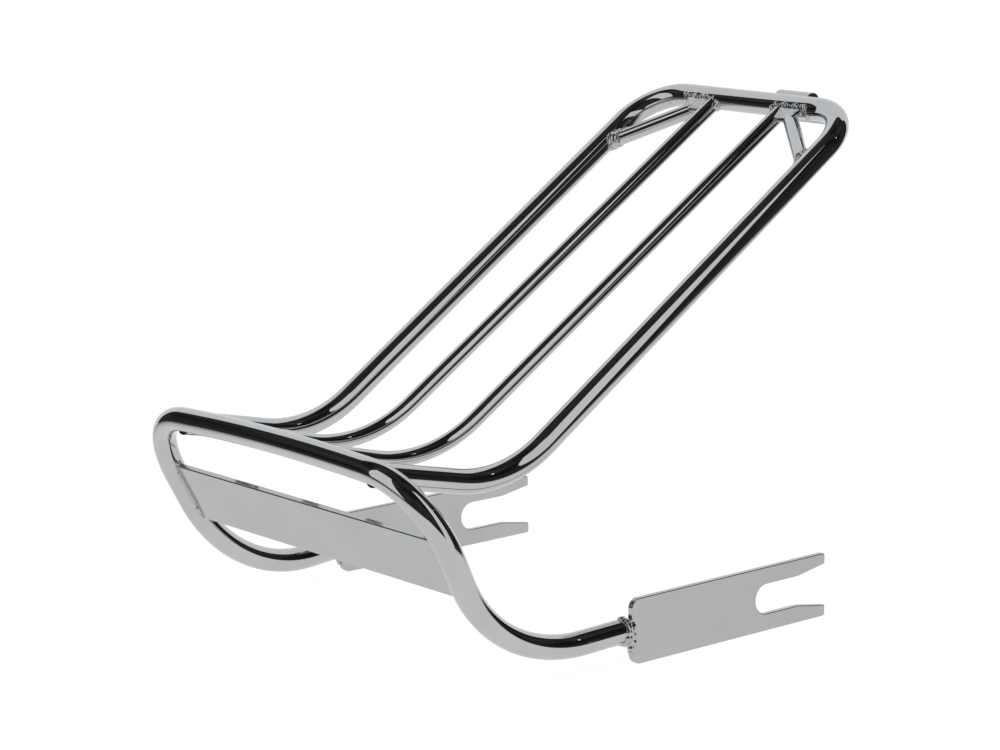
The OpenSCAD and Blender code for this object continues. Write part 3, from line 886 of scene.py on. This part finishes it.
class RACK_OT_cross_plate(bpy.types.Operator):
    """Build the flat bar between the hoop's legs"""

    bl_idname = "rack.cross_plate"
    bl_label = "Cross plate"

    def execute(self, context):
        r, s = rack(), context.scene.rack_sizes
        top, low = s.strip_top, s.strip_top + s.strip_width
        outline = [(-r.leg_x(low), low), (r.leg_x(low), low), (r.leg_x(top), top), (-r.leg_x(top), top)]
        face = Vector((0, math.cos(s.hoop_lean), math.sin(s.hoop_lean)))
        plate = flat_bar("Cross_plate", outline, s.strip_thick, lambda u, v, w: r.in_hoop(u, v) + face * w,
                         s.edge_round * CROSS_PLATE_EDGE, flat_material())
        handed_over(plate, "chrome_flat", "cross_plate")
        return {"FINISHED"}


class RACK_OT_front_tab(bpy.types.Operator):
    """Build the bent tab at the front of the end bar, with its bolt hole"""

    bl_idname = "rack.front_tab"
    bl_label = "Front tab"

    def execute(self, context):
        r, s = rack(), context.scene.rack_sizes
        outer = s.tab_bend + s.tab_thick
        bend = (s.tab_reach - outer, -outer)
        outline = [
            (r.rod * TAB_ROOT, 0.0),
            *arc(*bend, outer, 90, 0),
            (s.tab_reach, -s.tab_drop),
            (s.tab_reach - s.tab_thick, -s.tab_drop),
            *arc(*bend, s.tab_bend, 0, 90),
            (r.rod * TAB_ROOT, -s.tab_thick),
        ]

        def to_rack(u, v, w):
            return r.on_deck(s.tab_x + w, -u, v)

        drill = bpy.data.meshes.new("Drill")
        shape = bmesh.new()
        bmesh.ops.create_cone(shape, cap_ends=True, segments=48, radius1=s.tab_hole / 2,
                              radius2=s.tab_hole / 2, depth=4 * s.tab_thick)
        turn = Matrix.Rotation(s.deck_angle - math.pi / 2, 4, "X")
        spot = r.on_deck(s.tab_x, -(s.tab_reach - s.tab_thick / 2), -s.tab_drop + s.tab_hole_edge)
        bmesh.ops.transform(shape, matrix=Matrix.Translation(spot) @ turn, verts=shape.verts)
        shape.to_mesh(drill)
        shape.free()
        hole = mesh_object("Drill", drill)
        tab = flat_bar("Front_tab", outline, s.tab_width, to_rack, s.edge_round * TAB_EDGE, flat_material(),
                       [hole])
        handed_over(tab, "chrome_flat", "front_tab")
        return {"FINISHED"}


class RACK_OT_weld_beads(bpy.types.Operator):
    """Build the weld beads of every joint"""

    bl_idname = "rack.weld_beads"
    bl_label = "Weld beads"

    def execute(self, context):
        given = rack(), context.scene.rack_sizes, context.scene.rack_welds
        for number, (name, grow, path) in enumerate(BEADS):
            points, steady = path(*given)
            for side, placed in (("left", mirrored(points)), ("right", points)):
                seed = 2 * number + (side == "left")
                bead = weld_bead(name.capitalize() + "_" + side, placed, grow, seed, steady)
                handed_over(bead, "weld_bead", name + "_" + side)
        handed_over(weld_bead("Weld_tab", tab_path(*given), TAB_GROW, TAB_SEED), "weld_bead", "weld_tab")
        return {"FINISHED"}


# ---- Studio ----------------------------------------------------------------


def upright(x0, y0, x1, y1, top):
    """Corners of an upright card that stands on the floor."""
    return (x0, y0, 0.0), (x1, y1, 0.0), (x1, y1, top), (x0, y0, top)


# cards in metres, with their colour and brightness, as the rack's mirror finish shows them
CARDS = (
    ("Card_right", upright(0.53, -0.12, 0.53, 0.167, 1.05), (0.86, 0.87, 0.87), 1.0),
    ("Card_back", upright(-0.549, -0.197, 0.087, 0.575, 0.72), (0.84, 0.86, 0.87), 1.0),
    ("Card_rear", upright(-0.72, -1.3, 0.14, -1.3, 1.85), (0.84, 0.86, 0.87), 1.0),
    ("Card_lamp", ((0.74, 0.64, 0.82), (0.765, 0.615, 0.82), (0.765, 0.615, 0.85), (0.74, 0.64, 0.85)),
     (1, 1, 1), 6.0),
)


WHITE = (1, 1, 1)
FLOOR_RADIUS, FLOOR_LEVEL = 12.0, -0.2 * MM
FLOOR_WHITE, FLOOR_GLOW = 0.85, 1.08  # how much of the floor the camera sees as a plain glow, and its strength
# The strip of floor that glossy rays see: across it, where its edge starts and ends, its colour, and beyond it
STRIP_ACROSS = (0.636, 0.772, 0)
STRIP_EDGE = (0.26, 0.62)
STRIP_COLOUR, BEYOND_COLOUR = (0.86, 0.865, 0.86), (0.035, 0.033, 0.03)
# Light on the object, and the dark room in its reflections
SKY_COLOUR, SKY_STRENGTH = (0.9, 0.92, 0.95), 0.75
ROOM_SCALE, ROOM_DETAIL = 2.2, 2.0
ROOM_TONES = (0.4, 0.7, (0.01, 0.01, 0.01), (0.05, 0.048, 0.045))
LAMP_SIZE, LAMP_POWER = (1.2, 0.9), 6
LAMP_PLACE, LAMP_TILT = (0.35, -0.2, 1.3), (-8, 14, 0)
CAMERA_PLACE = (1.1745, -0.9883, 0.4272)
CAMERA_RIGHT, CAMERA_UP = (0.6361, 0.7715, -0.0154), (-0.1431, 0.1375, 0.9801)
CAMERA_LENS, CAMERA_SENSOR = 112.417, 36


def shining(nodes, kind, colour, strength=1.0):
    """An emission or background node of one colour."""
    return add(nodes, kind, {"Color": (*colour, 1), "Strength": strength})


def blend(nodes, link, factor, first, second):
    """The second shader in place of the first, as far as the factor says."""
    made = nodes.new("ShaderNodeMixShader")
    link(factor, made.inputs["Fac"])
    link(first, made.inputs[1])
    link(second, made.inputs[2])
    return made.outputs["Shader"]


def bare_material(name):
    """A material with only an output, its nodes, its link function and the output's surface."""
    material = bpy.data.materials.new(name)
    material.use_nodes = True
    nodes = material.node_tree.nodes
    nodes.clear()
    surface = nodes.new("ShaderNodeOutputMaterial").inputs["Surface"]
    return material, nodes, material.node_tree.links.new, surface


class RACK_OT_studio(bpy.types.Operator):
    """Set up the floor, the room, the lamps and the camera"""

    bl_idname = "rack.studio"
    bl_label = "Studio"

    def execute(self, context):
        self.floor(context)
        self.room(context)
        self.cards()
        self.lamps(context)
        self.camera(context)
        context.scene.view_settings.view_transform = "Standard"
        return {"FINISHED"}

    def floor(self, context):
        """White paper, pure white to the camera but for the object's shadow."""
        f = context.scene.rack_finish
        shape = bmesh.new()
        bmesh.ops.create_circle(shape, cap_ends=True, segments=96, radius=FLOOR_RADIUS)
        mesh = bpy.data.meshes.new("Floor")
        shape.to_mesh(mesh)
        shape.free()
        for vertex in mesh.vertices:
            vertex.co.z = FLOOR_LEVEL
        floor = mesh_object("Floor", mesh)
        material, nodes, link, surface = bare_material("White paper")
        paper = add(nodes, "ShaderNodeBsdfDiffuse", {"Color": (*f.floor, 1)})
        glow = shining(nodes, "ShaderNodeEmission", WHITE, FLOOR_GLOW)
        seen = shining(nodes, "ShaderNodeEmission", STRIP_COLOUR)
        dark = shining(nodes, "ShaderNodeEmission", BEYOND_COLOUR)
        rays = nodes.new("ShaderNodeLightPath")
        to_camera = add(nodes, "ShaderNodeMath", {1: FLOOR_WHITE}, operation="MULTIPLY")
        link(rays.outputs["Is Camera Ray"], to_camera.inputs[0])
        plain = blend(nodes, link, to_camera.outputs[0], paper.outputs["BSDF"], glow.outputs["Emission"])
        # the paper is a strip that ends on both sides of the rack, as glossy rays see it
        where = nodes.new("ShaderNodeTexCoord")
        sideways = add(nodes, "ShaderNodeVectorMath", {1: STRIP_ACROSS}, operation="DOT_PRODUCT")
        link(where.outputs["Object"], sideways.inputs[0])
        away = add(nodes, "ShaderNodeMath", operation="ABSOLUTE")
        link(sideways.outputs["Value"], away.inputs[0])
        edge = add(nodes, "ShaderNodeMapRange", {"From Min": STRIP_EDGE[0], "From Max": STRIP_EDGE[1]},
                   interpolation_type="SMOOTHSTEP")
        link(away.outputs["Value"], edge.inputs["Value"])
        sweep = blend(nodes, link, edge.outputs["Result"], seen.outputs["Emission"], dark.outputs["Emission"])
        link(blend(nodes, link, rays.outputs["Is Glossy Ray"], plain, sweep), surface)
        mesh.materials.append(material)

    def room(self, context):
        """White to the camera, plain light on the object, and a studio in its reflections."""
        world = bpy.data.worlds.new("Studio")
        context.scene.world = world
        world.use_nodes = True
        nodes, link = world.node_tree.nodes, world.node_tree.links.new
        nodes.clear()
        rays = nodes.new("ShaderNodeLightPath")
        plain = shining(nodes, "ShaderNodeBackground", SKY_COLOUR, SKY_STRENGTH)
        mirror = nodes.new("ShaderNodeBackground")
        way = nodes.new("ShaderNodeTexCoord")
        patches = add(nodes, "ShaderNodeTexNoise", {"Scale": ROOM_SCALE, "Detail": ROOM_DETAIL})
        link(way.outputs["Generated"], patches.inputs["Vector"])
        link(ramp(nodes, link, patches.outputs["Fac"], *ROOM_TONES), mirror.inputs["Color"])
        white = shining(nodes, "ShaderNodeBackground", WHITE)
        room = blend(nodes, link, rays.outputs["Is Glossy Ray"], plain.outputs[0], mirror.outputs[0])
        out = nodes.new("ShaderNodeOutputWorld")
        link(blend(nodes, link, rays.outputs["Is Camera Ray"], room, white.outputs[0]), out.inputs["Surface"])

    def cards(self):
        """White cards that stand round the rack, which only its mirror finish shows."""
        for name, corners, colour, strength in CARDS:
            mesh = bpy.data.meshes.new(name)
            mesh.from_pydata(corners, [], [tuple(range(len(corners)))])
            card = mesh_object(name, mesh)
            material, nodes, link, surface = bare_material(name)
            link(shining(nodes, "ShaderNodeEmission", colour, strength).outputs["Emission"], surface)
            mesh.materials.append(material)
            card.visible_camera = False
            card.visible_diffuse = False
            card.visible_transmission = False
            card.visible_shadow = False

    def lamps(self, context):
        """One broad soft lamp over the object, which its mirror finish does not show."""
        data = bpy.data.lights.new("Overhead", "AREA")
        data.shape = "RECTANGLE"
        data.size, data.size_y = LAMP_SIZE
        data.energy = LAMP_POWER
        lamp = bpy.data.objects.new("Overhead", data)
        lamp.location = LAMP_PLACE
        lamp.rotation_euler = [math.radians(a) for a in LAMP_TILT]
        lamp.visible_glossy = False
        context.scene.collection.objects.link(lamp)

    def camera(self, context):
        """The camera, from its place, its right and its up directions."""
        right = Vector(CAMERA_RIGHT).normalized()
        up = Vector(CAMERA_UP)
        back = right.cross(up).normalized()
        up = back.cross(right)
        data = bpy.data.cameras.new("Camera")
        data.sensor_fit = "HORIZONTAL"
        data.sensor_width = CAMERA_SENSOR
        data.lens = CAMERA_LENS
        data.clip_start = 0.01
        camera = bpy.data.objects.new("Camera", data)
        turn = Matrix((right, up, back)).transposed().to_4x4()
        camera.matrix_world = Matrix.Translation(CAMERA_PLACE) @ turn
        context.scene.collection.objects.link(camera)
        context.scene.camera = camera


# ---- Panel and registration ------------------------------------------------


OPERATORS = (
    RACK_OT_rear_hoop, RACK_OT_deck_frame, RACK_OT_inner_rails, RACK_OT_braces, RACK_OT_cross_plate,
    RACK_OT_side_plates, RACK_OT_front_tab, RACK_OT_weld_beads, RACK_OT_studio,
)


class RACK_PT_build(bpy.types.Panel):
    """Builds the rack piece by piece"""

    bl_idname = "RACK_PT_build"
    bl_label = "Luggage rack"
    bl_space_type = "VIEW_3D"
    bl_region_type = "UI"
    bl_category = "Rack"

    def draw(self, context):
        for operator in OPERATORS:
            self.layout.operator(operator.bl_idname)
        for group in (context.scene.rack_sizes, context.scene.rack_welds, context.scene.rack_finish):
            box = self.layout.box()
            for name in group.bl_rna.properties.keys():
                if name not in ("rna_type", "name"):
                    box.prop(group, name)


CLASSES = (RackSizes, RackWelds, RackFinish, *OPERATORS, RACK_PT_build)


def register():
    """Adds the classes and the settings to Blender."""
    for made in CLASSES:
        bpy.utils.register_class(made)
    bpy.types.Scene.rack_sizes = PointerProperty(type=RackSizes)
    bpy.types.Scene.rack_welds = PointerProperty(type=RackWelds)
    bpy.types.Scene.rack_finish = PointerProperty(type=RackFinish)


def unregister():
    """Takes them out again."""
    del bpy.types.Scene.rack_finish
    del bpy.types.Scene.rack_welds
    del bpy.types.Scene.rack_sizes
    for made in reversed(CLASSES):
        bpy.utils.unregister_class(made)


def main():
    """Builds every piece and the studio."""
    register()
    for operator in OPERATORS:
        group, name = operator.bl_idname.split(".")
        getattr(getattr(bpy.ops, group), name)()


if __name__ == "__main__":
    main()
